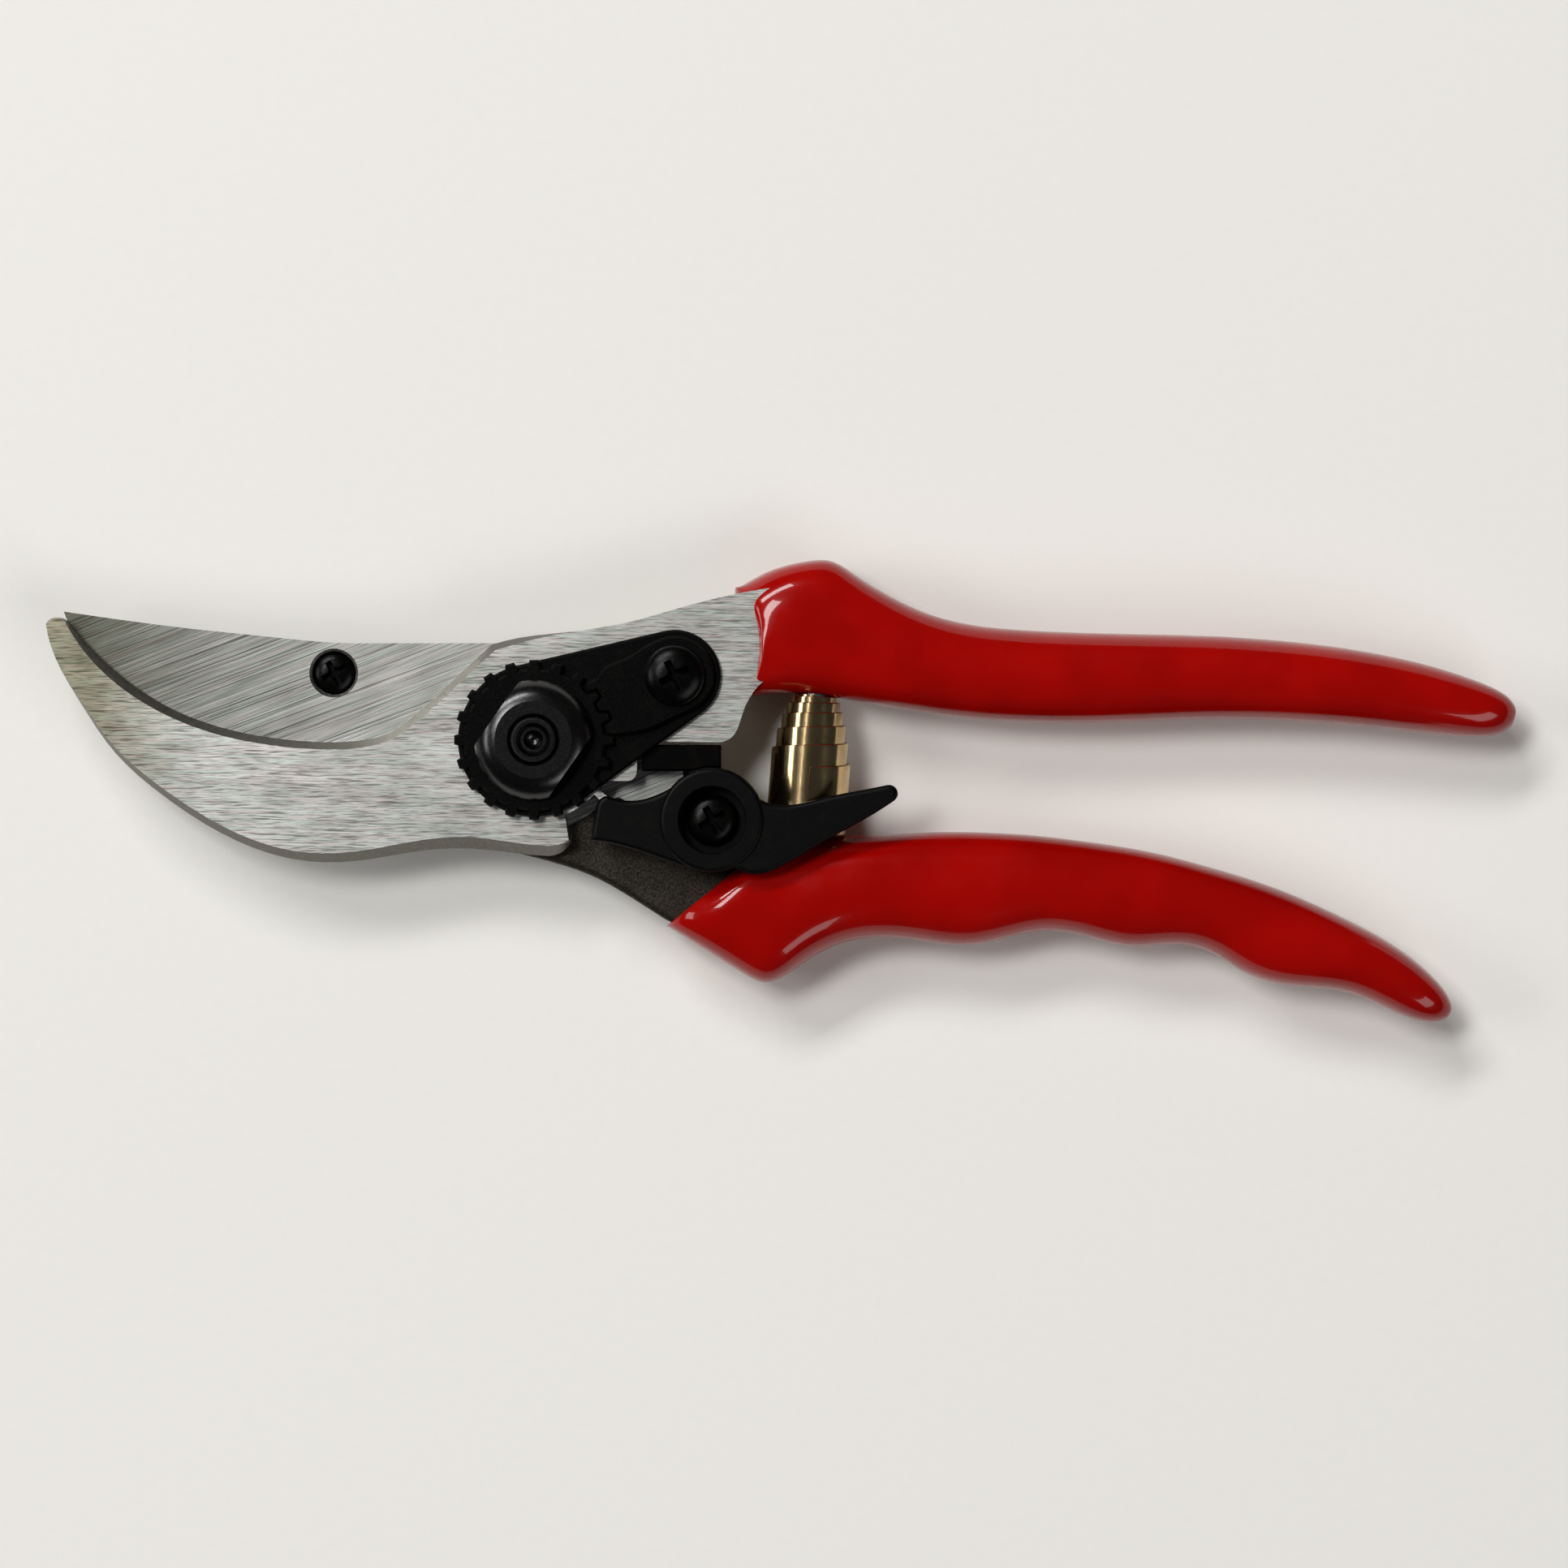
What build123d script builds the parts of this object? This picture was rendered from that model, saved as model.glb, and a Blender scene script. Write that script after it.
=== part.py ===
from build123d import *
import math
import os

# Pruning shears, closed, lying flat on the pivot bolt's head and on the backs of the two grips.
# Millimetres. The pivot axis is Z, the blades point along -X, and the hook plate is the upper layer.
# The origin is the centre of the bolt head's outer face, on the plane that the shears rest on.

# Layers along the pivot axis, from the rest plane up.
head_top = 2.2            # bolt head
washer_top = 2.8          # thrust washer
forging_top = 5.2         # blade carrier of the lower forging
blade_top = 8.0           # cutting blade
pad_top = 7.95            # lower forging, beside the blade
hook_low = 8.05           # hook plate, with a running gap over the blade
hook_top = 12.0
base_top = 13.0           # base plate of the nut lock
wheel_top = 14.2          # toothed wheel and keeper
nut_top = 17.2
bolt_end = 17.6

# Pivot.
bolt_r = 4.0
thread_r = 3.0
bolt_head_r = 8.0
bolt_flat = 3.3           # half width across the bolt's two flats
fit = 0.05                # radial clearance of a running fit
bush_r = 5.5
root_r = 12.4             # blade root round the pivot
nut_r = 8.05
nut_flat = 6.1            # half width across the nut's flats
nut_turn = 145            # direction that one flat faces, degrees
teeth = 20
tooth_tip_r = 10.8
tooth_root_r = 9.6
base_r = 10.35

# Keeper screw, blade screw and latch pivot, in the plane of the shears.
keeper_at = (18.96, 8.71)
blade_screw_at = (-27.5, 9.15)
latch_at = (24.03, -10.8)

# Lock: a lug under the latch drops behind a tooth on the hook plate's hub.
hub_r = 10.9
lock_tooth_r = 12.9
lock_tooth = (-42.5, -37.8)   # degrees
lug_at = (11.2, -8.9)
lug_r = 1.1
lug_low = 8.4

edge_break = 0.3          # small bevel on the black parts

latch_round = 0.6         # rounding of the latch's upper edges

# Latch levels.
nose_low = 12.3
nose_top = 15.0
arm_low = 13.55
arm_top = 15.7
boss_low = 8.4
boss_top = 16.0
boss_r = 7.05
recess_r = 4.5
recess_floor = 12.6
latch_screw_r = 2.5

# Bevels, as width on the face.
back_bevel = 1.3          # hook plate, along its back
jaw_bevel = 1.0           # hook plate, along its jaw
bevel_low = 9.6           # level where the hook plate's bevels start
edge_bevel = 4.2          # cutting bevel, on the blade's rear face
edge_low = 7.6            # level of the cutting edge's flat

# Handles: dipped sleeves over forged tangs.
grip_thick = 13.2
skin = 1.4
tang_end_gap = 9.0
collar_lap = 2.4          # how far inside its sleeve the lower tang starts
shelf_round = 0.9         # rounding of the lower forging's outer edge
collar_corner = 3.3       # corner of the upper sleeve's section where it meets the hook plate
collar_x = 30.0
corner_growth = 0.3       # and how fast it grows along the handle, to a round section

# Volute spring, wide end on the lower handle.
spring_foot = (36.5, -13.1)
spring_tip = (38.0, 6.2)
spring_big_r = 5.75
spring_small_r = 2.6
strip_thick = 0.4
strip_wide = 10.5
spring_turns = 5

# Each station of a handle: x, lower edge, upper edge, thickness as a part of the full one.
upper_stations = [
    (23.0, 4.6, 18.4, 1.0),
    (28.4, 5.7, 21.1, 1.0),
    (33.0, 6.5, 22.9, 1.0),
    (37.4, 6.1, 24.3, 1.0),
    (39.8, 5.9, 24.5, 1.0),
    (42.0, 5.6, 23.4, 1.0),
    (46.3, 4.7, 20.7, 1.0),
    (50.7, 4.0, 18.2, 1.0),
    (55.1, 3.4, 16.6, 1.0),
    (61.7, 2.6, 15.3, 1.0),
    (70.6, 2.2, 14.8, 1.0),
    (80.0, 2.5, 14.55, 1.0),
    (92.6, 2.9, 14.3, 1.0),
    (101.4, 2.7, 13.7, 1.0),
    (110.3, 2.1, 12.7, 0.99),
    (119.1, 1.2, 10.9, 0.95),
    (125.7, 0.5, 9.0, 0.86),
    (129.6, 0.3, 7.6, 0.72),
    (132.2, 1.3, 6.1, 0.5),
    (133.6, 2.9, 4.5, 0.2),
]
lower_stations = [
    (14.5, -23.4, -13.6, 1.0),
    (18.5, -25.6, -13.6, 1.0),
    (23.2, -28.7, -13.6, 1.0),
    (27.6, -31.6, -13.5, 1.0),
    (31.0, -33.5, -13.4, 1.0),
    (34.7, -31.5, -13.2, 1.0),
    (37.5, -29.5, -13.1, 1.0),
    (41.0, -27.7, -13.0, 1.0),
    (46.3, -26.9, -12.9, 1.0),
    (51.5, -27.2, -12.4, 1.0),
    (58.0, -28.1, -12.3, 1.0),
    (64.5, -26.6, -12.6, 1.0),
    (69.2, -25.9, -12.95, 1.0),
    (73.6, -26.3, -13.5, 1.0),
    (80.5, -28.2, -14.4, 1.0),
    (87.0, -27.7, -15.8, 1.0),
    (91.2, -28.4, -17.0, 1.0),
    (95.2, -30.9, -18.2, 1.0),
    (100.4, -33.2, -19.9, 1.0),
    (108.0, -33.7, -23.0, 1.0),
    (112.9, -35.2, -25.4, 0.98),
    (117.4, -37.3, -28.1, 0.92),
    (121.3, -38.6, -31.2, 0.76),
    (123.6, -38.4, -33.6, 0.52),
    (124.9, -37.1, -35.4, 0.2),
]


def at(angle, radius):
    """Point at a polar place about the pivot."""
    turn = math.radians(angle)
    return (radius * math.cos(turn), radius * math.sin(turn))


def slab(face, low, high):
    """A flat face made a solid from one level to another."""
    return extrude(Pos(0, 0, low) * face, amount=high - low)


def disc(place, radius, low, high):
    return Pos(place[0], place[1], low) * extrude(Circle(radius), amount=high - low)


def closed(points):
    return make_face(Polyline(*points, close=True))


def hull_of(first, first_r, second, second_r):
    """Face wrapped round two circles."""
    circles = [
        (Pos(*first) * Circle(first_r)).edge(),
        (Pos(*second) * Circle(second_r)).edge(),
    ]
    return make_hull(circles)


def cross_recess(place, top, span, width, depth):
    """Tool for a cross-slot driver recess."""
    slots = Sketch() + Rectangle(span, width) + Rectangle(width, span)
    arms = extrude(slots, amount=-depth, taper=8)
    well = Pos(0, 0, -depth / 2) * Cone(width * 0.35, width * 0.95, depth)
    return Pos(place[0], place[1], top) * Rot(0, 0, 28) * (arms + well)


def pan_screw(place, head_r, low, head_high, shank_r, tip, span, width):
    """Cross-slot screw with a domed pan head, its head standing on level low."""
    crown = head_r * 0.42
    profile = make_face(
        [
            Line((0, tip), (shank_r, tip)),
            Line((shank_r, tip), (shank_r, low)),
            Line((shank_r, low), (head_r, low)),
            Line((head_r, low), (head_r, head_high - crown)),
            Spline((head_r, head_high - crown), (head_r * 0.8, head_high - crown * 0.3),
                   (0, head_high), tangents=[(0, 1), (-1, 0)]),
            Line((0, head_high), (0, tip)),
        ]
    )
    solid = Pos(place[0], place[1], 0) * revolve(Plane.XZ * profile, Axis.Z)
    return solid - cross_recess(place, head_high + 0.01, span, width, head_r * 0.5)


def shifted(points, amounts):
    """Points moved square to their line, to its left, each by its own amount."""
    moved = []
    for index, (x, y) in enumerate(points):
        before = points[max(index - 1, 0)]
        after = points[min(index + 1, len(points) - 1)]
        along = math.atan2(after[1] - before[1], after[0] - before[0])
        amount = amounts[index]
        moved.append((x - amount * math.sin(along), y + amount * math.cos(along)))
    return moved


def hook_face(bevel):
    """Outline of the hook plate with its hub, lock tooth and handle shoulder, drawn in by its bevels."""
    back = shifted(
        [(-66.4, 15.6), (-65.6, 12.3), (-61.7, 5.0), (-57.3, -1.4), (-50.7, -7.4), (-41.9, -13.0),
         (-33.1, -16.1), (-24.3, -16.4), (-15.4, -15.0), (-8.8, -14.7), (-2.2, -15.4), (1.2, -15.7)],
        [bevel * back_bevel * part for part in (0.2, 0.2, 0.3, 0.5, 0.7, 0.8, 0.9, 1, 1.1, 1.2, 1.1, 1.1)],
    )
    jaw = shifted(
        [(-6.0, 12.9), (-11.0, 8.3), (-15.4, 4.3), (-19.8, 1.0), (-24.3, -0.1), (-33.1, 0.0),
         (-41.9, 1.5), (-50.7, 4.9), (-57.3, 9.5), (-61.7, 13.8), (-63.6, 16.1)],
        [bevel * jaw_bevel] * 9 + [bevel * jaw_bevel * 0.5, 0],
    )
    top = shifted(
        [(36.0, 21.0), (28.3, 20.0), (18.6, 17.6), (12.5, 15.9), (7.4, 15.0), (1.5, 14.4), (-2.2, 13.9)],
        [0, 0, 0, 0, 0, bevel * jaw_bevel * 0.4, bevel * jaw_bevel * 0.8],
    )
    corner = (1.2 - 0.2 * bevel, back[-1][1])
    back[-1] = corner
    first, last = lock_tooth
    step = at(-30.5, hub_r)
    return make_face(
        [
            ThreePointArc(jaw[-1], (-65.6 + 0.1 * bevel, 16.5 - 0.1 * bevel), back[0]),
            Spline(*back),
            ThreePointArc(corner, (3.7 - 0.3 * bevel, -15.1 + bevel), (4.9 - 0.3 * bevel, -13.6)),
            Line((4.9 - 0.3 * bevel, -13.6), at(-68, hub_r)),
            ThreePointArc(at(-68, hub_r), at(-54, hub_r), at(first, hub_r)),
            Line(at(first, hub_r), at(first, lock_tooth_r)),
            Line(at(first, lock_tooth_r), at(last, lock_tooth_r)),
            Line(at(last, lock_tooth_r), at(last, hub_r)),
            ThreePointArc(at(last, hub_r), at(-32.5, hub_r), step),
            Line(step, (12.6, step[1])),
            ThreePointArc((12.6, step[1]), (13.5, -5.1), (13.8, -4.3)),
            Line((13.8, -4.3), (14.0, -0.8)),
            ThreePointArc((14.0, -0.8), (14.2, -0.4), (14.6, -0.2)),
            Line((14.6, -0.2), (24.9, -0.3)),
            Spline((24.9, -0.3), (26.8, 0.5), (28.2, 3.8), (31.0, 8.0), (36.0, 9.0)),
            Line((36.0, 9.0), (36.0, 21.0)),
            Spline(*top, jaw[0]),
            Spline(*jaw),
        ]
    )


def handle(stations, inset, low_end, high_end, straight):
    """Rounded bar through the stations that lie between two x values, smooth or straight between them."""
    sections = []
    for x, low, high, part in stations:
        if not low_end <= x <= high_end:
            continue
        wide = high - low - 2 * inset
        tall = grip_thick * part - 2 * inset
        corner = collar_corner - inset / 2 + corner_growth * max(0, x - collar_x)
        if stations is lower_stations:
            corner = tall
        plane = Plane(origin=(x, (low + high) / 2, grip_thick / 2), x_dir=(0, 1, 0), z_dir=(1, 0, 0))
        sections.append(plane * RectangleRounded(wide, tall, min(corner, 0.46 * min(wide, tall))))
    return loft(sections, ruled=straight)


def upper_tang():
    return handle(upper_stations, skin, 28, 133.6 - tang_end_gap, True)


def lower_tang():
    return handle(lower_stations, skin, 18, 124.9 - tang_end_gap, True)


def hook_body():
    """Hook plate and upper handle tang, one forging."""
    plate = slab(hook_face(0), hook_low, bevel_low)
    plate += loft([Pos(0, 0, bevel_low) * hook_face(0), Pos(0, 0, hook_top) * hook_face(1)], ruled=True)
    bore = disc((0, 0), bolt_r + fit, hook_low, hook_top) & (
        Pos(0, 0, hook_low) * Box(20, 2 * (bolt_flat + fit), 20, align=(Align.CENTER, Align.CENTER, Align.MIN))
    )
    screw_hole = disc(keeper_at, 2.0, hook_low - 1, hook_top + 1)
    return plate + upper_tang() - bore - screw_hole - upper_stud()


def bush():
    return disc((0, 0), bush_r, washer_top, blade_top) - disc((0, 0), bolt_r + fit, 0, 20)


def blade_face(bevel):
    """Outline of the cutting blade with its root and tail, drawn in by its cutting bevel."""
    heel = at(217, root_r)
    edge = shifted(
        [heel, (-14.0, -4.6), (-20.0, -3.2), (-28.7, -2.8), (-37.5, -1.7), (-46.3, 0.9), (-54.0, 5.0),
         (-60.5, 10.8), (-64.2, 17.5)],
        [-bevel * edge_bevel * part for part in (0, 0.6, 1, 1, 1, 1, 0.9, 0.6, 0)],
    )
    return make_face(
        [
            Spline((-64.2, 17.5), (-57.3, 16.5), (-46.3, 15.1), (-37.5, 14.2), (-28.7, 13.35), (-22.0, 13.2)),
            Line((-22.0, 13.2), (-5.0, 13.2)),
            ThreePointArc((-5.0, 13.2), (4.5, 12.0), at(28, root_r)),
            ThreePointArc(at(28, root_r), at(10, root_r), at(-5.5, root_r)),
            Line(at(-5.5, root_r), (20.0, -1.2)),
            Line((20.0, -1.2), (20.0, -8.8)),
            Line((20.0, -8.8), at(-45, root_r)),
            ThreePointArc(at(-45, root_r), at(-94, root_r), heel),
            Spline(*edge),
        ]
    )


def blade():
    solid = slab(blade_face(0), edge_low, blade_top)
    solid += loft([Pos(0, 0, forging_top) * blade_face(1), Pos(0, 0, edge_low) * blade_face(0)], ruled=True)
    solid -= disc((0, 0), bush_r, 0, 20)
    solid -= disc(blade_screw_at, 3.0, blade_top - 1.8, 20)
    solid -= Pos(*blade_screw_at, blade_top - 0.15) * Cone(3.0, 3.35, 0.35)
    solid -= disc(blade_screw_at, 1.8, 0, 20)
    return solid


def lower_collar(back):
    """Region ahead of the lower grip's slanted end, moved back from it by a distance."""
    step = back / math.sqrt(2)
    return Pos(-step, step) * closed([(12.0, -30.0), (34.5, -10.5), (10.0, -5.0), (5.0, -20.0)])


def lower_body():
    """Blade carrier, latch pad and lower handle tang, one forging."""
    carrier = Circle(root_r + 0.5) + hull_of((0, 0), 7.0, blade_screw_at, 3.8)
    carrier += closed([(9.0, -1.2), (20.5, -1.2), (20.5, -9.2), (9.0, -9.2)])
    seat = at(-45, root_r + 0.1)
    pad = make_face(
        [
            ThreePointArc(at(-100, root_r + 0.1), at(-75, root_r + 0.1), seat),
            Line(seat, (20.1, -8.9)),
            Line((20.1, -8.9), (20.1, -1.1)),
            Line((20.1, -1.1), (25.1, -1.1)),
            Line((25.1, -1.1), (25.2, -4.6)),
            Spline((25.2, -4.6), (28.0, -8.0), (29.0, -12.5), (31.0, -15.0)),
            Line((31.0, -15.0), (22.0, -26.2)),
            Line((22.0, -26.2), (17.6, -24.4)),
            Spline((17.6, -24.4), (12.1, -20.9), (7.7, -18.5), (2.2, -16.6), (-2.4, -15.4)),
            Line((-2.4, -15.4), at(-100, root_r + 0.1)),
        ]
    )
    tang = lower_tang() - slab(lower_collar(-collar_lap), -1, 20)
    shelf = slab(pad, washer_top, pad_top)
    outer = [edge for edge in shelf.edges() if edge.geom_type == GeomType.BSPLINE and edge.center().Y < -15]
    shelf = fillet([edge for edge in outer if edge.length > 10], shelf_round)
    solid = slab(carrier, washer_top, forging_top) + shelf + tang
    solid -= disc(latch_at, boss_r + 0.5, pad_top, 20)
    solid -= disc((0, 0), bush_r, 0, 20)
    solid -= disc(blade_screw_at, 1.4, 0, 20)
    solid -= disc(latch_at, 2.0, 0, 20)
    return solid - lower_stud()


def upper_grip():
    collar = make_face(
        [
            Spline((26.4, 24.5), (28.4, 20.2), (30.0, 16.9), (31.1, 12.3), (31.0, 8.6), (29.4, 2.0)),
            Line((29.4, 2.0), (10.0, 2.0)),
            Line((10.0, 2.0), (10.0, 24.5)),
            Line((10.0, 24.5), (26.4, 24.5)),
        ]
    )
    cutter = extrude(Pos(0, 0, hook_top) * collar, amount=3) + extrude(
        Pos(0, 0, hook_top) * collar, amount=20, dir=(-0.22, 0, -1)
    )
    return handle(upper_stations, 0, 20, 134, False) - cutter - hook_body() - upper_stud()


def lower_grip():
    solid = handle(lower_stations, 0, 14, 125, False) - slab(lower_collar(0), -1, 20)
    solid -= disc(latch_at, boss_r + 0.5, pad_top, 20)
    return solid - lower_body() - lower_stud()


def pivot_bolt():
    head = disc((0, 0), bolt_head_r, 0, head_top)
    head = chamfer(head.edges().group_by(Axis.Z)[0], 0.6)
    shank = disc((0, 0), bolt_r, head_top, hook_low)
    flats = disc((0, 0), bolt_r, hook_low, hook_top) & Pos(0, 0, 10) * Box(20, 2 * bolt_flat, 20)
    thread = disc((0, 0), thread_r, hook_top, bolt_end)
    thread = chamfer(thread.edges().group_by(Axis.Z)[-1], edge_break)
    cup = Pos(0, 0, bolt_end - 0.35) * Cone(1.7, 2.3, 0.71) + Pos(0, 0, bolt_end - 0.7) * Sphere(1.3)
    return head + shank + flats + thread - cup


def thrust_washer():
    return disc((0, 0), bolt_head_r, head_top, washer_top) - disc((0, 0), bolt_r + 0.1, 0, 20)


def base_plate():
    plate = slab(hull_of((0, 0), base_r, keeper_at, 6.2), hook_top, base_top)
    plate = chamfer(plate.edges().group_by(Axis.Z)[-1], edge_break)
    return plate - disc((0, 0), thread_r + fit, 0, 20) - disc(keeper_at, 2.0, 0, 20)


def wheel_face(grow):
    """Toothed wheel outline, grown all round by a clearance."""
    tooth = closed([(0, -0.95 - grow), (tooth_root_r, -0.95 - grow), (tooth_tip_r + grow, -0.6 - grow),
                    (tooth_tip_r + grow, 0.6 + grow), (tooth_root_r, 0.95 + grow), (0, 0.95 + grow)])
    face = Sketch() + Circle(tooth_root_r + grow)
    for step in range(teeth):
        face += Rot(0, 0, step * 360 / teeth) * tooth
    return face


def toothed_wheel():
    wheel = slab(wheel_face(0), base_top, wheel_top)
    wheel = chamfer(wheel.edges().group_by(Axis.Z)[-1], edge_break)
    return wheel - disc((0, 0), thread_r + fit, 0, 20)


def keeper():
    """Plate whose end sits between two teeth of the wheel and stops it turning."""
    wing = make_face(
        [
            Line((6.6, 7.4), (8.6, 8.4)),
            Spline((8.6, 8.4), (9.8, 10.0), (12.0, 10.9), (15.0, 12.7), (19.0, 14.05), (22.9, 12.4),
                   (24.3, 8.6), (22.6, 4.9), (19.0, 3.0), (15.6, 1.4), (12.0, 0.7), (9.0, 0.4)),
            Line((9.0, 0.4), (6.6, 7.4)),
        ]
    )
    plate = slab(wing, base_top, wheel_top)
    plate = chamfer(plate.edges().group_by(Axis.Z)[-1], edge_break)
    return plate - slab(wheel_face(0.12), hook_top, nut_top) - disc(keeper_at, 2.0, 0, 20)


def pivot_nut():
    profile = make_face(
        [
            Polyline((0, nut_top), (0, wheel_top), (nut_r, wheel_top), (nut_r, wheel_top + 0.9)),
            Spline((nut_r, wheel_top + 0.9), (7.0, wheel_top + 2.2), (5.2, nut_top)),
            Line((5.2, nut_top), (0, nut_top)),
        ]
    )
    solid = revolve(Plane.XZ * profile, Axis.Z)
    across = Rot(0, 0, nut_turn) * Pos(0, 0, wheel_top) * Box(2 * nut_flat, 30, 20)
    solid = (solid & across) - disc((0, 0), thread_r + 0.001, 0, 20)
    return solid - Pos(0, 0, nut_top - 0.25) * Cone(thread_r, thread_r + 0.6, 0.6)


def keeper_screw():
    return pan_screw(keeper_at, 4.1, wheel_top, wheel_top + 2.1, 2.0, hook_low + 0.2, 4.4, 1.0)


def blade_screw():
    return pan_screw(blade_screw_at, 2.92, blade_top - 1.8, blade_top - 0.1, 1.4, washer_top + 0.2, 3.6, 0.9)


def latch():
    """Thumb latch: nose with the lock lug, pivot boss with a screw recess, and thumb arm."""
    nose = make_face(
        [
            Line((7.6, -13.6), (8.45, -8.9)),
            ThreePointArc((8.45, -8.9), (8.95, -7.95), (9.95, -7.55)),
            Spline((9.95, -7.55), (15.2, -7.9), (18.6, -6.4), (21.5, -4.6)),
            Line((21.5, -4.6), (22.0, -17.6)),
            Spline((22.0, -17.6), (17.6, -16.2), (13.2, -14.7), (7.6, -13.6)),
        ]
    )
    arm = make_face(
        [
            Line((27.0, -17.2), (29.4, -6.5)),
            Spline((29.4, -6.5), (30.9, -8.2), (34.0, -8.8), (39.0, -7.8), (44.1, -6.8), (47.6, -6.1)),
            ThreePointArc((47.6, -6.1), (49.0, -6.8), (48.6, -8.2)),
            Spline((48.6, -8.2), (44.1, -11.0), (39.7, -13.4), (34.4, -16.5), (31.0, -18.0), (27.0, -17.2)),
        ]
    )
    nose_bar = slab(nose, nose_low, nose_top)
    nose_bar = fillet(nose_bar.edges().group_by(Axis.Z)[-1], latch_round)
    arm_bar = slab(arm, arm_low, arm_top)
    arm_bar = fillet(arm_bar.edges().group_by(Axis.Z)[-1], latch_round)
    boss = disc(latch_at, boss_r, boss_low, boss_top)
    boss = fillet(boss.edges().group_by(Axis.Z)[-1], latch_round)
    solid = nose_bar + arm_bar + boss
    solid += disc(lug_at, lug_r, lug_low, nose_low + 1)
    solid -= disc(latch_at, recess_r, recess_floor, 20)
    solid -= Pos(*latch_at, boss_top) * Cone(recess_r - 0.2, recess_r + 0.5, 0.7)
    return solid - disc(latch_at, latch_screw_r + fit, 0, 20)


def latch_washer():
    return disc(latch_at, 4.4, pad_top, boss_low - fit) - disc(latch_at, latch_screw_r + 0.1, 0, 20)


def latch_screw():
    head_low = recess_floor + fit
    solid = pan_screw(latch_at, 3.5, head_low, head_low + 1.9, latch_screw_r, pad_top, 4.0, 1.0)
    return solid + disc(latch_at, 2.0, washer_top + 0.3, pad_top)


def cushion():
    """Rubber stop that the hook plate's shoulder closes on."""
    face = closed([(14.5, -4.2), (25.2, -4.2), (25.2, -0.65), (14.5, -0.65)])
    block = slab(face, blade_top, hook_top)
    block = chamfer(block.edges().group_by(Axis.Z)[-1], edge_break)
    return block - disc(latch_at, boss_r + 0.3, 0, 20)


def stud(foot, toward, radius, length, sunk):
    """Round spring stud standing on a handle, its foot sunk in the tang."""
    along = (Vector(*toward) - Vector(*foot)).normalized()
    plane = Plane(origin=Vector(foot[0], foot[1], grip_thick / 2) - along * sunk, z_dir=along)
    solid = plane * Cylinder(radius, length + sunk, align=(Align.CENTER, Align.CENTER, Align.MIN))
    return chamfer(solid.faces().sort_by(Axis.Y)[-1 if along.Y > 0 else 0].edges(), radius * 0.2)


def upper_stud():
    return stud(spring_tip, spring_foot, 1.7, 4.0, 4.0)


def lower_stud():
    return stud(spring_foot, spring_tip, 2.8, 3.4, 4.0)


def volute_spring():
    """Flat strip wound into a cone, each turn nested in the next."""
    foot = Vector(spring_foot[0], spring_foot[1], grip_thick / 2)
    tip = Vector(spring_tip[0], spring_tip[1], grip_thick / 2)
    length = (tip - foot).length
    rise = length - strip_wide
    big = spring_big_r - strip_thick / 2
    small = spring_small_r - strip_thick / 2
    lean = math.degrees(math.atan2(big - small, rise))
    path = Helix(rise / spring_turns, rise, big, cone_angle=-lean)
    section = Plane(origin=path @ 0, x_dir=(1, 0, 0), z_dir=path % 0) * Rectangle(strip_thick, strip_wide)
    coil = sweep(section, path, is_frenet=True)
    stand = Plane(origin=foot, x_dir=(1, 0, 0), z_dir=(tip - foot).normalized())
    return stand * Pos(0, 0, strip_wide / 2) * coil


def main():
    nodes = {
        "hook_body": hook_body,
        "upper_grip": upper_grip,
        "blade": blade,
        "blade_screw": blade_screw,
        "lower_body": lower_body,
        "lower_grip": lower_grip,
        "pivot_bolt": pivot_bolt,
        "pivot_bush": bush,
        "thrust_washer": thrust_washer,
        "base_plate": base_plate,
        "toothed_wheel": toothed_wheel,
        "pivot_nut": pivot_nut,
        "keeper": keeper,
        "keeper_screw": keeper_screw,
        "latch": latch,
        "latch_washer": latch_washer,
        "latch_screw": latch_screw,
        "cushion": cushion,
        "upper_spring_stud": upper_stud,
        "lower_spring_stud": lower_stud,
        "volute_spring": volute_spring,
    }
    os.makedirs("parts", exist_ok=True)
    for name, make in nodes.items():
        solid = make()
        export_step(solid, f"parts/{name}.step")
        print(name, round(solid.volume, 1))


main()
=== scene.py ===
import bpy
import bmesh
import math
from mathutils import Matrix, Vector


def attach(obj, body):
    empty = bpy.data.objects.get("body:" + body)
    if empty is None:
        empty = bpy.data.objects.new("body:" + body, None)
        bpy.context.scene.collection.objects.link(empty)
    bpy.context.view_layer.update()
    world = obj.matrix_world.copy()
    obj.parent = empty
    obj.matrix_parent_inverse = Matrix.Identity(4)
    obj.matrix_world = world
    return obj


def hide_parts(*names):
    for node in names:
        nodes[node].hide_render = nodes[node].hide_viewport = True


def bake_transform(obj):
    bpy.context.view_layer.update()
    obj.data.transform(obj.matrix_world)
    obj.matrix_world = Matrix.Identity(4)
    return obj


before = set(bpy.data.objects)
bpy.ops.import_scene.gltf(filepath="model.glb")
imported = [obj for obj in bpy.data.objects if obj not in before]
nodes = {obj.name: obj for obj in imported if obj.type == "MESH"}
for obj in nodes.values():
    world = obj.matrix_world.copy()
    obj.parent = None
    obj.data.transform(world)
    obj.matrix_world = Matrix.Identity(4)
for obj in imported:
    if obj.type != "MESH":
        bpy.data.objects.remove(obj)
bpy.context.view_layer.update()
mm = 0.001
print("frame loaded:", len(nodes), "nodes")


def deselectAll():
    if bpy.context.object and bpy.context.object.mode == "EDIT":
        bpy.ops.object.mode_set(mode="OBJECT")
    bpy.ops.object.select_all(action="DESELECT")


def current(obj, name):
    obj.name = name
    obj.data.name = name
    return obj


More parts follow.
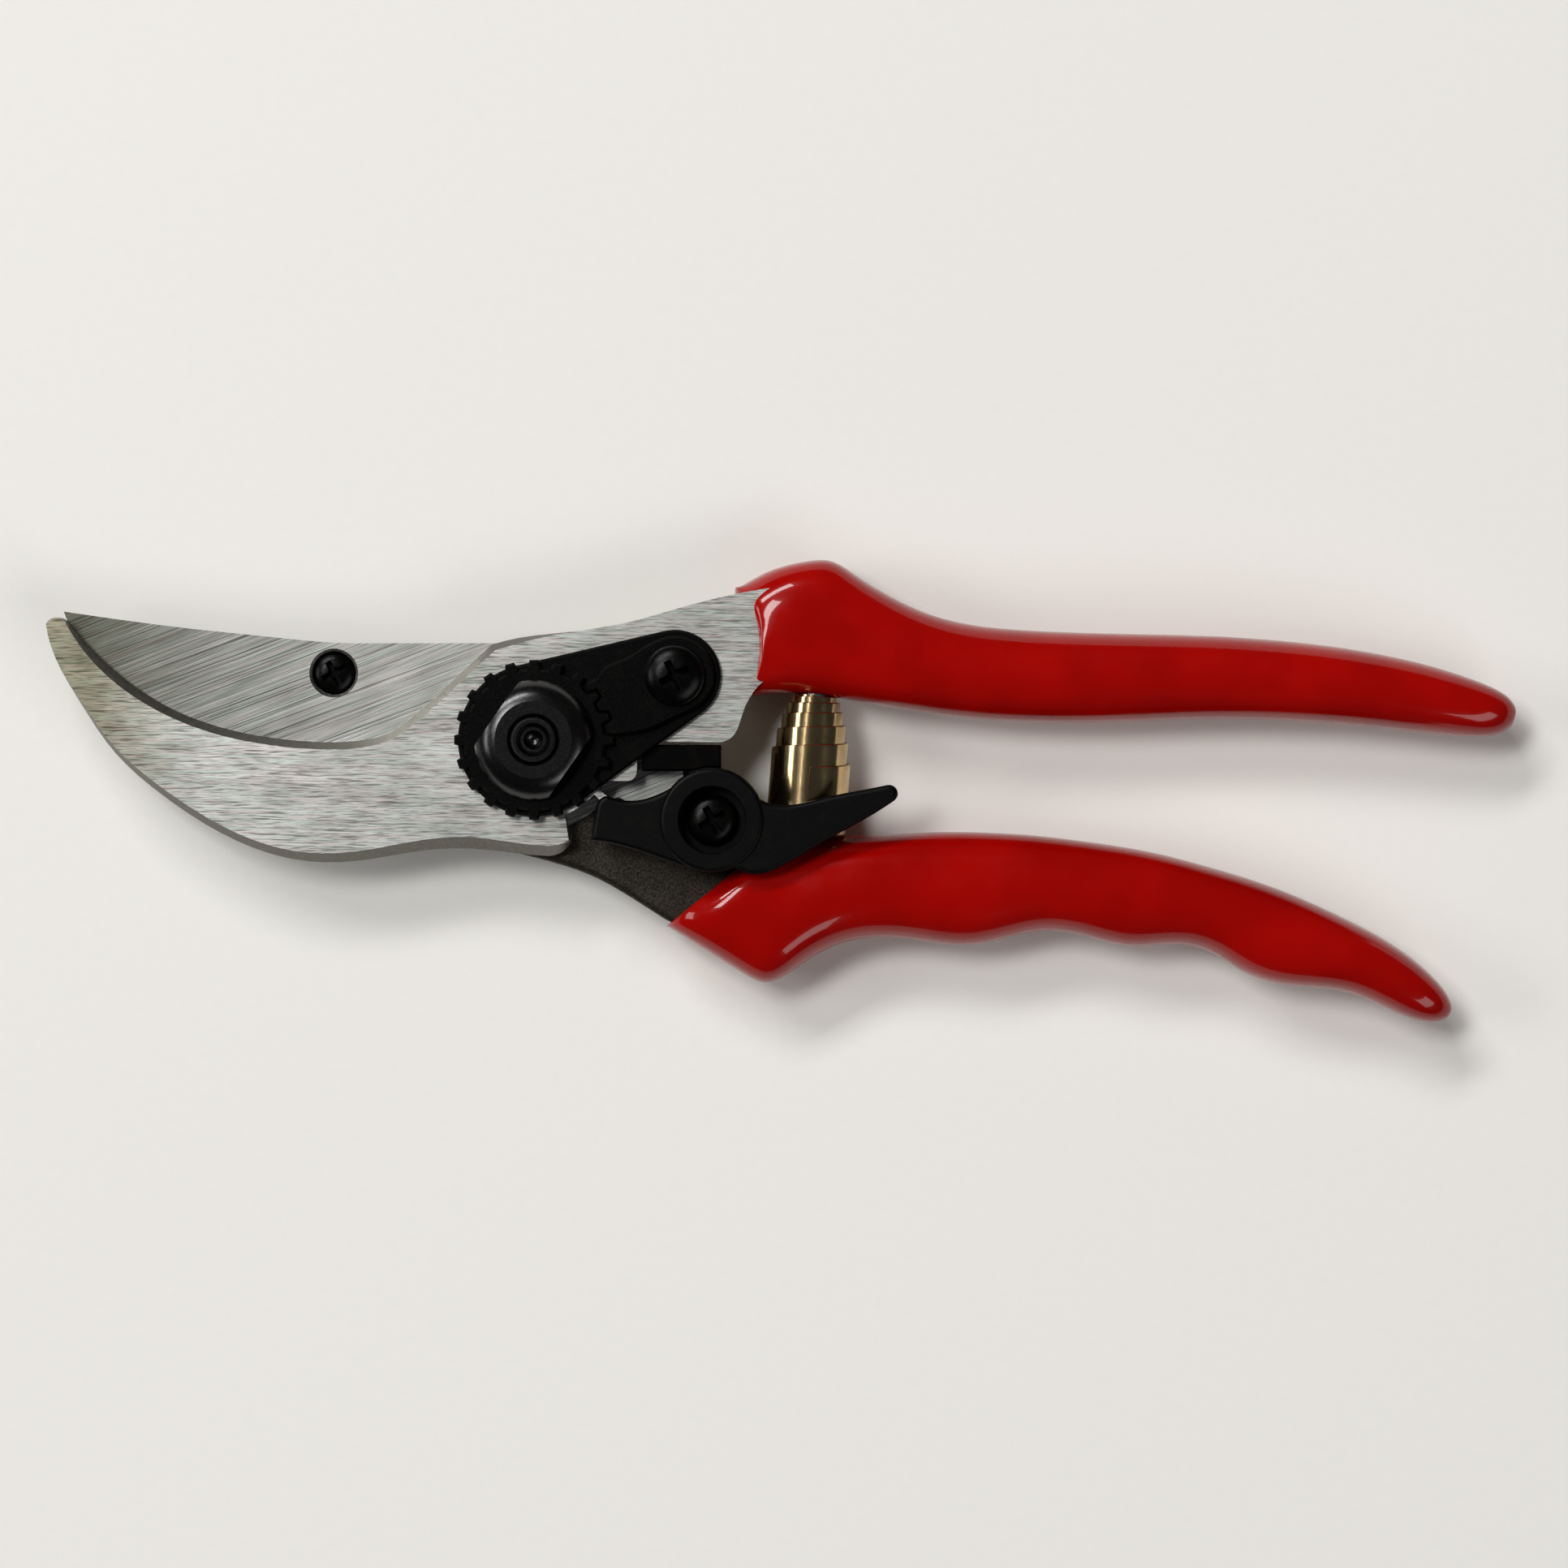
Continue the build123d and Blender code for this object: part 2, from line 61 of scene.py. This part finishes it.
def selectVerts(test):
    mesh = bmesh.from_edit_mesh(bpy.context.object.data)
    bpy.ops.mesh.select_mode(type="VERT")
    bpy.ops.mesh.select_all(action="DESELECT")
    for vert in mesh.verts:
        vert.select = bool(test(vert))
    mesh.select_flush(True)
    bmesh.update_edit_mesh(bpy.context.object.data)


def turnAbout(centre, angle):  # anticlockwise about Z; transform.rotate counts the other way here
    bpy.ops.transform.rotate(value=-angle, orient_axis="Z", center_override=centre)


def useModifier(obj, kind, **settings):
    bpy.context.view_layer.objects.active = obj
    modifier = obj.modifiers.new(kind.title(), kind)
    for key, value in settings.items():
        setattr(modifier, key, value)
    bpy.ops.object.modifier_apply(modifier=modifier.name)


def settle(obj, angle=40):  # place goes into the mesh, then smooth shading
    deselectAll()
    obj.select_set(True)
    bpy.context.view_layer.objects.active = obj
    bpy.ops.object.transform_apply(location=True, rotation=True, scale=True)
    bpy.ops.object.shade_smooth_by_angle(angle=math.radians(angle))


def addNode(tree, kind, links=None, **settings):
    made = tree.nodes.new("ShaderNode" + kind)
    for key, value in settings.items():
        setattr(made, key, value)
    for socket, source in (links or {}).items():
        if isinstance(source, bpy.types.NodeSocket):
            tree.links.new(source, made.inputs[socket])
        else:
            made.inputs[socket].default_value = source
    return made


def newMaterial(name, **sockets):
    material = bpy.data.materials.new(name)
    material.use_nodes = True
    shader = material.node_tree.nodes["Principled BSDF"]
    for socket, value in sockets.items():
        shader.inputs[socket.replace("_", " ")].default_value = value
    return material, material.node_tree, shader


def noise(tree, across, along=None, turn=0, detail=3.0, rough=0.6):  # sizes in metres
    where = addNode(tree, "TexCoord").outputs["Object"]
    grainSize = (along or across, across, across)
    placed = addNode(tree, "Mapping", {"Vector": where, "Rotation": (0, 0, math.radians(turn)),
                                       "Scale": grainSize}, vector_type="TEXTURE")
    made = addNode(tree, "TexNoise", {"Vector": placed.outputs[0], "Scale": 1.0, "Detail": detail,
                                      "Roughness": rough})
    return made.outputs[0]


def spread(tree, value, low, high, fromLow=0.3, fromHigh=0.7):
    made = addNode(tree, "MapRange", {"Value": value, "From Min": fromLow, "From Max": fromHigh,
                                      "To Min": low, "To Max": high})
    return made.outputs[0]


def calc(tree, kind, first, second):
    return addNode(tree, "Math", {0: first, 1: second}, operation=kind).outputs[0]


def tint(tree, value, dark, light, fromLow=0.3, fromHigh=0.7):
    ramp = addNode(tree, "ValToRGB", {"Fac": value})
    ramp.color_ramp.elements[0].position = fromLow
    ramp.color_ramp.elements[0].color = (*dark, 1)
    ramp.color_ramp.elements[1].position = fromHigh
    ramp.color_ramp.elements[1].color = (*light, 1)
    return ramp.outputs[0]


def mixColour(tree, part, first, second, kind="MIX"):
    made = addNode(tree, "Mix", {0: part, 6: first, 7: second}, data_type="RGBA", blend_type=kind)
    return made.outputs[2]


def mixValue(tree, part, first, second):
    return addNode(tree, "Mix", {0: part, 2: first, 3: second}).outputs[0]


def bump(tree, height, distance, strength=1.0, under=None):
    links = {"Height": height, "Distance": distance, "Strength": strength}
    if under:
        links["Normal"] = under
    return addNode(tree, "Bump", links).outputs[0]


def faceFlat(tree, low, high):  # 1 on the front and back faces, 0 on walls and bevels
    normal = addNode(tree, "NewGeometry").outputs["Normal"]
    height = addNode(tree, "SeparateXYZ", {0: normal}).outputs["Z"]
    flat = addNode(tree, "Math", {0: height}, operation="ABSOLUTE").outputs[0]
    return spread(tree, flat, 0.0, 1.0, low, high)


hookFinish = {
    "turn": 0,                     # grain direction, degrees
    "along": 2.6 * mm,             # grain length and width
    "across": 0.14 * mm,
    "dark": (0.25, 0.24, 0.222),
    "light": (1.0, 0.985, 0.95),
    "scratch": 0.8,
    "tip": (-60, -44),             # mm, where the painted shade on the tip starts and stops
    "tipShadeColour": (0.42, 0.40, 0.31),
}
bladeFinish = {
    "turn": 22,
    "along": 9 * mm,
    "across": 0.13 * mm,
    "dark": (0.33, 0.325, 0.307),
    "light": (0.74, 0.74, 0.71),
    "scratch": 0.45,
    "tip": (-62, -22),
    "tipShadeColour": (0.26, 0.257, 0.215),
}


def tipShade(tree, finish):  # painted shade: the ground faces darken towards the points, in place of their darker reflection
    where = addNode(tree, "TexCoord").outputs["Object"]
    along = addNode(tree, "SeparateXYZ", {0: where}).outputs["X"]
    start, stop = finish["tip"]
    return tint(tree, spread(tree, along, 0, 1, start * mm, stop * mm), finish["tipShadeColour"], (1, 1, 1), 0, 1)


def brushedSteel(name, finish):
    turn = finish["turn"]
    material, tree, shader = newMaterial(name, Metallic=1.0)
    across, along = finish["across"], finish["along"]
    fine = noise(tree, across, along, turn, 1.0, 0.5)
    middle = noise(tree, across * 2.6, along * 2.2, turn + 1.0, 1.0, 0.5)
    scratch = noise(tree, across * 1.4, along * 7, turn - 1.5, 0.0, 0.5)
    wide = noise(tree, 3 * mm, 8 * mm, turn, 2.0, 0.5)
    warm = noise(tree, across * 4, along * 1.5, turn, 1.0, 0.5)
    grain = calc(tree, "ADD", calc(tree, "MULTIPLY", fine, 0.62), calc(tree, "MULTIPLY", middle, 0.38))
    face = tint(tree, grain, finish["dark"], finish["light"], 0.40, 0.56)
    hue = tint(tree, warm, (0.94, 1.0, 0.97), (1.0, 0.955, 0.94), 0.4, 0.6)
    face = mixColour(tree, 1.0, face, hue, "MULTIPLY")
    line = tint(tree, scratch, (1, 1, 1), (finish["scratch"],) * 3, 0.63, 0.7)
    face = mixColour(tree, 1.0, face, line, "MULTIPLY")
    glint = spread(tree, scratch, 0.5, 0.0, 0.27, 0.33)
    face = mixColour(tree, glint, face, (1, 1, 0.98, 1))
    cloud = tint(tree, wide, (0.8, 0.8, 0.785), (1, 1, 1), 0.35, 0.6)
    face = mixColour(tree, 1.0, face, cloud, "MULTIPLY")
    # painted shade: the face darkens towards the points
    wearAndShade = tipShade(tree, finish)
    face = mixColour(tree, 1.0, face, wearAndShade, "MULTIPLY")
    speck = noise(tree, 0.5 * mm, None, 0, 4.0, 0.7)
    wall = tint(tree, speck, (0.12, 0.109, 0.094), (0.255, 0.24, 0.218), 0.3, 0.7)
    flat = faceFlat(tree, 0.9, 0.985)
    tree.links.new(mixColour(tree, flat, wall, face), shader.inputs["Base Color"])
    gloss = spread(tree, grain, 0.46, 0.26, 0.36, 0.64)
    tree.links.new(mixValue(tree, flat, spread(tree, speck, 0.42, 0.6), gloss), shader.inputs["Roughness"])
    tree.links.new(bump(tree, grain, 0.012 * mm, 0.6), shader.inputs["Normal"])
    return material


def forgedSteel():
    material, tree, shader = newMaterial("forgedSteel", Metallic=0.85)
    sand = noise(tree, 0.32 * mm, None, 0, 3.0, 0.65)
    patch = noise(tree, 5 * mm, None, 0, 3.0, 0.55)
    colour = tint(tree, sand, (0.014, 0.011, 0.008), (0.058, 0.049, 0.038), 0.36, 0.66)
    cloud = tint(tree, patch, (0.7, 0.68, 0.64), (1, 1, 1))
    tree.links.new(mixColour(tree, 1.0, colour, cloud, "MULTIPLY"), shader.inputs["Base Color"])
    tree.links.new(spread(tree, sand, 0.62, 0.42), shader.inputs["Roughness"])
    tree.links.new(bump(tree, sand, 0.10 * mm, 0.7), shader.inputs["Normal"])
    return material


def redVinyl():
    material, tree, shader = newMaterial("redVinyl", Coat_Weight=0.55, Coat_Roughness=0.04,
                                         Coat_IOR=1.45, Specular_IOR_Level=0.08)
    peel = noise(tree, 3.2 * mm, None, 0, 2.0, 0.5)
    pore = noise(tree, 0.22 * mm, None, 0, 2.0, 0.6)
    depth = noise(tree, 9 * mm, None, 0, 2.0, 0.5)
    colour = tint(tree, depth, (0.275, 0.0009, 0.0001), (0.33, 0.0014, 0.0001), 0.35, 0.65)
    tree.links.new(colour, shader.inputs["Base Color"])
    tree.links.new(spread(tree, peel, 0.16, 0.24), shader.inputs["Roughness"])
    fine = bump(tree, pore, 0.004 * mm, 0.4)
    tree.links.new(bump(tree, peel, 0.05 * mm, 0.5, fine), shader.inputs["Normal"])
    return material


def blackOxide(name, low, high, grain, gleam):
    material, tree, shader = newMaterial(name, Specular_IOR_Level=gleam)
    speck = noise(tree, grain, None, 0, 3.0, 0.65)
    wearAndShade = noise(tree, 2.5 * mm, None, 0, 4.0, 0.65)
    colour = tint(tree, wearAndShade, (0.0008, 0.0007, 0.0006), (0.004, 0.0034, 0.0026), 0.5, 0.85)
    tree.links.new(colour, shader.inputs["Base Color"])
    tree.links.new(spread(tree, speck, low, high), shader.inputs["Roughness"])
    tree.links.new(bump(tree, speck, 0.02 * mm, 0.5), shader.inputs["Normal"])
    return material


def springPlate():
    material, tree, shader = newMaterial("springPlate", Metallic=1.0)
    mottle = noise(tree, 2.0 * mm, None, 0, 2.0, 0.5)
    hair = noise(tree, 0.12 * mm, None, 0, 2.0, 0.6)
    tree.links.new(tint(tree, mottle, (0.48, 0.34, 0.16), (0.62, 0.47, 0.25)), shader.inputs["Base Color"])
    tree.links.new(spread(tree, hair, 0.10, 0.2), shader.inputs["Roughness"])
    return material


def plainMetal(name, dark, light, low, high):
    material, tree, shader = newMaterial(name, Metallic=1.0)
    speck = noise(tree, 0.4 * mm, None, 0, 3.0, 0.6)
    tree.links.new(tint(tree, speck, dark, light), shader.inputs["Base Color"])
    tree.links.new(spread(tree, speck, low, high), shader.inputs["Roughness"])
    tree.links.new(bump(tree, speck, 0.01 * mm, 0.5), shader.inputs["Normal"])
    return material


hookSteel = brushedSteel("hookSteel", hookFinish)
bladeSteel = brushedSteel("bladeSteel", bladeFinish)
forged = forgedSteel()
vinyl = redVinyl()
blackSteel = blackOxide("blackSteel", 0.22, 0.34, 0.25 * mm, 0.1)
nutSteel = blackOxide("nutSteel", 0.18, 0.28, 0.25 * mm, 0.5)
mouldedBlack = blackOxide("mouldedBlack", 0.36, 0.5, 0.18 * mm, 0.08)
rubber = blackOxide("rubber", 0.6, 0.8, 0.3 * mm, 0.04)
spring = springPlate()
bronze = plainMetal("bronze", (0.42, 0.24, 0.09), (0.62, 0.38, 0.16), 0.28, 0.45)
zinc = plainMetal("zinc", (0.42, 0.42, 0.41), (0.62, 0.62, 0.6), 0.3, 0.45)

finishes = {
    hookSteel: ["hook_body"],
    bladeSteel: ["blade"],
    forged: ["lower_body"],
    nutSteel: ["pivot_bolt", "pivot_nut"],
    blackSteel: ["toothed_wheel", "keeper", "base_plate", "keeper_screw", "latch_screw", "blade_screw"],
    mouldedBlack: ["latch"],
    rubber: ["cushion"],
    bronze: ["pivot_bush"],
    zinc: ["thrust_washer", "latch_washer", "upper_spring_stud", "lower_spring_stud"],
}
for material, names in finishes.items():
    for name in names:
        mesh = nodes[name].data
        if not mesh.materials:
            mesh.materials.append(material)
        for index in range(len(mesh.materials)):
            mesh.materials[index] = material
print("materials set")


upperGrip = {
    "around": 20,          # verts in a ring
    "thick": 13.2,         # mm
    "bow": 2.1,            # how far the collar bows along the handle
    "bowAt": 12.0,
    "bowHalf": 7.5,        # half the height over which it bows
    "lean": 0.2,           # how far it runs back under the plate, for each mm down
    "collarShare": (1, 1, 0.5),
    "rings": [             # lower point, upper point, part of the thickness, push on the corners
        ((28.6, 6.1), (29.0, 20.4), 0.94, 1.16),
        ((29.3, 5.9), (29.8, 20.8), 0.97, 1.16),
        ((33.2, 6.5), (33.7, 23.4), 1, 1.15),
        ((36.8, 6.3), (37.2, 24.6), 1, 1.13),
        ((40.2, 5.85), (40.5, 24.8), 1, 1.11),
        ((43.2, 5.3), (43.4, 22.6), 1, 1.09),
        ((47.2, 4.6), (47.6, 19.95), 1, 1.08),
        ((52.0, 3.8), (52.6, 17.4), 1, 1.07),
        ((58.0, 2.9), (58.4, 15.8), 1, 1.05),
        ((65.0, 2.4), (65.0, 15.1), 1, 1.05),
        ((74.0, 2.2), (74.0, 14.7), 1, 1.05),
        ((84.0, 2.6), (84.0, 14.5), 1, 1.05),
        ((93.0, 2.9), (93.0, 14.3), 1, 1.05),
        ((102.0, 2.65), (102.6, 13.6), 1, 1.05),
        ((110.5, 2.1), (111.5, 12.5), 0.99, 1.05),
        ((118.0, 1.25), (120.0, 10.8), 0.95, 1.05),
        ((124.2, 0.6), (126.5, 8.8), 0.86, 1.05),
        ((128.6, 0.3), (130.8, 7.1), 0.72, 1.05),
        ((131.2, 0.7), (132.7, 5.8), 0.52, 1.05),
        ((132.9, 1.9), (133.5, 4.4), 0.26, 1.05),
    ],
}
lowerGrip = {
    "around": 20,
    "thick": 13.2,
    "rings": [
        ((17.8, -25.2), (28.6, -16.4), 0.72, 1.1),
        ((18.2, -25.6), (29.1, -16.7), 0.8, 1.1),
        ((20.0, -26.8), (30.8, -15.6), 0.95, 1.1),
        ((22.0, -28.1), (32.0, -14.8), 1, 1.09),
        ((24.5, -29.6), (33.0, -14.0), 1, 1.08),
        ((28.0, -31.8), (34.6, -13.5), 1, 1.08),
        ((31.0, -33.6), (36.0, -13.3), 1, 1.07),
        ((33.8, -32.4), (37.8, -13.1), 1, 1.07),
        ((37.5, -29.5), (40.3, -13.0), 1, 1.06),
        ((42.0, -27.3), (43.6, -12.9), 1, 1.05),
        ((47.2, -26.7), (48.0, -12.7), 1, 1.05),
        ((52.5, -27.3), (52.7, -12.45), 1, 1.05),
        ((57.9, -28.3), (57.5, -12.35), 1, 1.05),
        ((63.2, -27.3), (62.3, -12.5), 1, 1.05),
        ((68.5, -25.7), (67.6, -12.8), 1, 1.05),
        ((73.8, -26.3), (73.6, -13.5), 1, 1.05),
        ((80.0, -28.4), (80.6, -14.5), 1, 1.05),
        ((84.5, -27.9), (86.0, -15.6), 1, 1.05),
        ((88.7, -27.7), (91.0, -17.0), 1, 1.05),
        ((92.6, -29.1), (96.0, -18.4), 1, 1.05),
        ((96.0, -31.7), (101.0, -20.1), 1, 1.05),
        ((100.5, -33.4), (106.0, -22.2), 1, 1.05),
        ((106.0, -33.7), (111.0, -24.6), 1, 1.05),
        ((110.7, -34.2), (115.3, -26.8), 0.98, 1.05),
        ((115.2, -36.3), (119.3, -29.5), 0.92, 1.05),
        ((119.2, -38.2), (122.5, -32.4), 0.8, 1.05),
        ((122.1, -38.6), (124.2, -34.6), 0.58, 1.05),
        ((123.9, -38.0), (124.8, -36.3), 0.28, 1.05),
    ],
}


sleeve = {
    "besideCorner": 0.3,   # share of a corner's push that its neighbours get
    "capInset": 0.5,       # mm
    "levels": 3,
    "smoothTo": 60,        # degrees
}


def addRing(grip, low, high, part, corner):  # one section, squarer as corner grows
    middle = (Vector(low) + Vector(high)) / 2
    across = Vector(high) - Vector(low)
    centre = Vector((middle.x, middle.y, grip["thick"] / 2)) * mm
    size = (across.length / 2, 1, grip["thick"] / 2 * part)
    bpy.ops.mesh.select_all(action="DESELECT")
    bpy.ops.mesh.primitive_circle_add(vertices=grip["around"], radius=mm, location=centre,
                                      rotation=(math.pi / 2, 0, 0))
    bpy.ops.transform.resize(value=size, center_override=centre)
    turnAbout(centre, math.atan2(across.y, across.x))
    mesh = bmesh.from_edit_mesh(bpy.context.object.data)
    ring = [vert for vert in mesh.verts if vert.select]
    for places, push in (((2, 3), corner), ((1, 4), 1 + (corner - 1) * sleeve["besideCorner"])):
        for index, vert in enumerate(ring):
            vert.select = index % 5 in places
        mesh.select_flush(False)
        bpy.ops.transform.resize(value=[push] * 3, center_override=centre)


def curveCollar(grip):  # the sleeve's end bows over the plate and leans back below it
    places = [vert.co / mm for vert in bmesh.from_edit_mesh(bpy.context.object.data).verts]
    for band in range(grip["around"]):
        for depth, share in enumerate(grip["collarShare"]):
            index = depth * grip["around"] + band
            place = places[index]
            bow = grip["bow"] * (1 - ((place.y - grip["bowAt"]) / grip["bowHalf"]) ** 2)
            lean = grip["lean"] * (place.z - grip["thick"])
            selectVerts(lambda vert: vert.index == index)
            bpy.ops.transform.translate(value=((bow + lean) * share * mm, 0, 0))


def makeGrip(name, grip):
    deselectAll()
    bpy.ops.mesh.primitive_circle_add(vertices=grip["around"], radius=mm)
    obj = current(bpy.context.object, name)
    bpy.ops.object.mode_set(mode="EDIT")
    bpy.ops.mesh.select_all(action="SELECT")
    bpy.ops.mesh.delete(type="VERT")
    for low, high, part, corner in grip["rings"]:
        addRing(grip, low, high, part, corner)
    if "bow" in grip:
        curveCollar(grip)
    count = grip["around"]
    for ring in range(1, len(grip["rings"])):
        first = (ring - 1) * count
        selectVerts(lambda vert: first <= vert.index < first + 2 * count)
        bpy.ops.mesh.select_mode(type="EDGE")
        bpy.ops.mesh.bridge_edge_loops()
        bmesh.from_edit_mesh(obj.data).verts.ensure_lookup_table()
    for first in (0, (len(grip["rings"]) - 1) * count):
        selectVerts(lambda vert: first <= vert.index < first + count)
        bpy.ops.mesh.edge_face_add()
        bpy.ops.mesh.inset(thickness=sleeve["capInset"] * mm)
    bpy.ops.mesh.select_all(action="SELECT")
    bpy.ops.mesh.normals_make_consistent(inside=False)
    bpy.ops.object.mode_set(mode="OBJECT")
    useModifier(obj, "SUBSURF", levels=sleeve["levels"], render_levels=sleeve["levels"])
    obj.data.materials.append(vinyl)
    settle(obj, sleeve["smoothTo"])
    return obj


upper = makeGrip("upperSleeve", upperGrip)
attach(upper, "upper_side")
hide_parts("upper_grip")
lower = makeGrip("lowerSleeve", lowerGrip)
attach(lower, "lower_side")
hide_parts("lower_grip")
print("grips made")


volute = {
    "foot": (36.5, -13.1, 6.6),   # mm, middle of the wide end
    "tip": (38.0, 6.2, 6.6),
    "wide": 9.5,                  # strip width
    "strip": 0.4,                 # strip thickness
    "bigRadius": 5.75,
    "smallRadius": 2.6,
    "turns": 6,
    "steps": 32,                  # steps in a turn
    "edge": 0.08,                 # mm taken off the strip's edges
    "smoothTo": 35,               # degrees
}


def makeSpring():
    foot = Vector(volute["foot"]) * mm
    tip = Vector(volute["tip"]) * mm
    length = (tip - foot).length
    total = volute["turns"] * volute["steps"]
    rise = length - volute["wide"] * mm
    big = volute["bigRadius"] - volute["strip"] / 2
    small = volute["smallRadius"] - volute["strip"] / 2
    deselectAll()
    wide = volute["wide"]
    bpy.ops.mesh.primitive_plane_add(size=wide * mm, location=(big * mm, 0, wide / 2 * mm),
                                     rotation=(math.pi / 2, 0, math.pi / 2))
    obj = current(bpy.context.object, "voluteSpring")
    bpy.ops.object.transform_apply(location=True, rotation=True, scale=True)
    bpy.ops.object.mode_set(mode="EDIT")
    selectVerts(lambda vert: vert.co.y < 0)
    bpy.ops.mesh.delete(type="VERT")
    selectVerts(lambda vert: True)
    bpy.ops.transform.translate(value=(0, -wide / 2 * mm, 0))
    radius = big
    for step in range(total):
        done = (step + 1) / total
        wanted = big + (small - big) * done
        advance = rise * (2 - 2 * done + 1 / total) / total  # the outer turns stand further apart
        bpy.ops.mesh.extrude_edges_move(TRANSFORM_OT_translate={"value": (0, 0, advance)})
        turnAbout((0, 0, 0), math.tau / volute["steps"])
        bpy.ops.transform.resize(value=(wanted / radius, wanted / radius, 1), center_override=(0, 0, 0))
        radius = wanted
    bpy.ops.object.mode_set(mode="OBJECT")
    obj.rotation_mode = "QUATERNION"
    obj.rotation_quaternion = (tip - foot).to_track_quat("Z", "X")
    obj.location = foot
    bpy.ops.object.transform_apply(location=True, rotation=True, scale=True)
    useModifier(obj, "SOLIDIFY", thickness=volute["strip"] * mm, offset=0)
    useModifier(obj, "BEVEL", width=volute["edge"] * mm, segments=1, limit_method="ANGLE")
    obj.data.materials.append(spring)
    settle(obj, volute["smoothTo"])
    return obj


coil = makeSpring()
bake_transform(coil)
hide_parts("volute_spring")
print("spring made")


studio = {
    "middle": (33.74, -5.95),      # mm, what the camera looks at
    "span": 213.0,                 # mm across the picture
    "level": 9.0,                  # height at which that span holds
    "height": 800.0,
    "lightsAt": (0.03, -0.005, 0.01),
    "floorSize": 6,
    "sky": (0.9, 0.92, 1, 1),
    "skyStrength": 0.05,
    "sensor": 36,
    "farClip": 20,
}


def aim(obj, target):
    obj.rotation_euler = (Vector(target) - obj.location).to_track_quat("-Z", "Y").to_euler()


def addLight(name, place, size, power, colour=(1, 1, 1)):
    lamp = bpy.data.lights.new(name, "AREA")
    lamp.shape = "RECTANGLE"
    lamp.size, lamp.size_y = size
    lamp.energy = power
    lamp.color = colour
    obj = bpy.data.objects.new(name, lamp)
    bpy.context.scene.collection.objects.link(obj)
    obj.location = place
    aim(obj, studio["lightsAt"])
    return obj


deselectAll()
bpy.ops.mesh.primitive_plane_add(size=studio["floorSize"], location=(0.03, 0, 0))
floor = current(bpy.context.object, "floor")
paper, paperTree, paperShader = newMaterial("paper", Roughness=0.9, Specular_IOR_Level=0.1)
fibre = noise(paperTree, 1.5 * mm, None, 0, 2.0, 0.5)
paperTree.links.new(tint(paperTree, fibre, (0.795, 0.775, 0.73), (0.805, 0.785, 0.74)),
                    paperShader.inputs["Base Color"])
floor.data.materials.append(paper)

addLight("keyLight", (-0.95, 1.60, 1.70), (1.3, 0.40), 33.0)
addLight("topLight", (-0.95, 0.70, 2.40), (0.9, 0.6), 31.0)
addLight("sideLight", (-2.00, 0.10, 1.30), (1.0, 0.5), 10.0)
addLight("fillLight", (1.70, -1.50, 2.00), (2.2, 1.0), 24.0)
world = bpy.data.worlds.new("studio")
bpy.context.scene.world = world
world.use_nodes = True
world.node_tree.nodes["Background"].inputs["Color"].default_value = studio["sky"]
world.node_tree.nodes["Background"].inputs["Strength"].default_value = studio["skyStrength"]

lens = bpy.data.cameras.new("camera")
camera = bpy.data.objects.new("camera", lens)
bpy.context.scene.collection.objects.link(camera)
camera.location = (studio["middle"][0] * mm, studio["middle"][1] * mm, studio["height"] * mm)
lens.sensor_width = studio["sensor"]
lens.lens = lens.sensor_width * (studio["height"] - studio["level"]) / studio["span"]
lens.clip_end = studio["farClip"]
bpy.context.scene.camera = camera
bpy.context.scene.view_settings.view_transform = "Standard"
print("stage set")
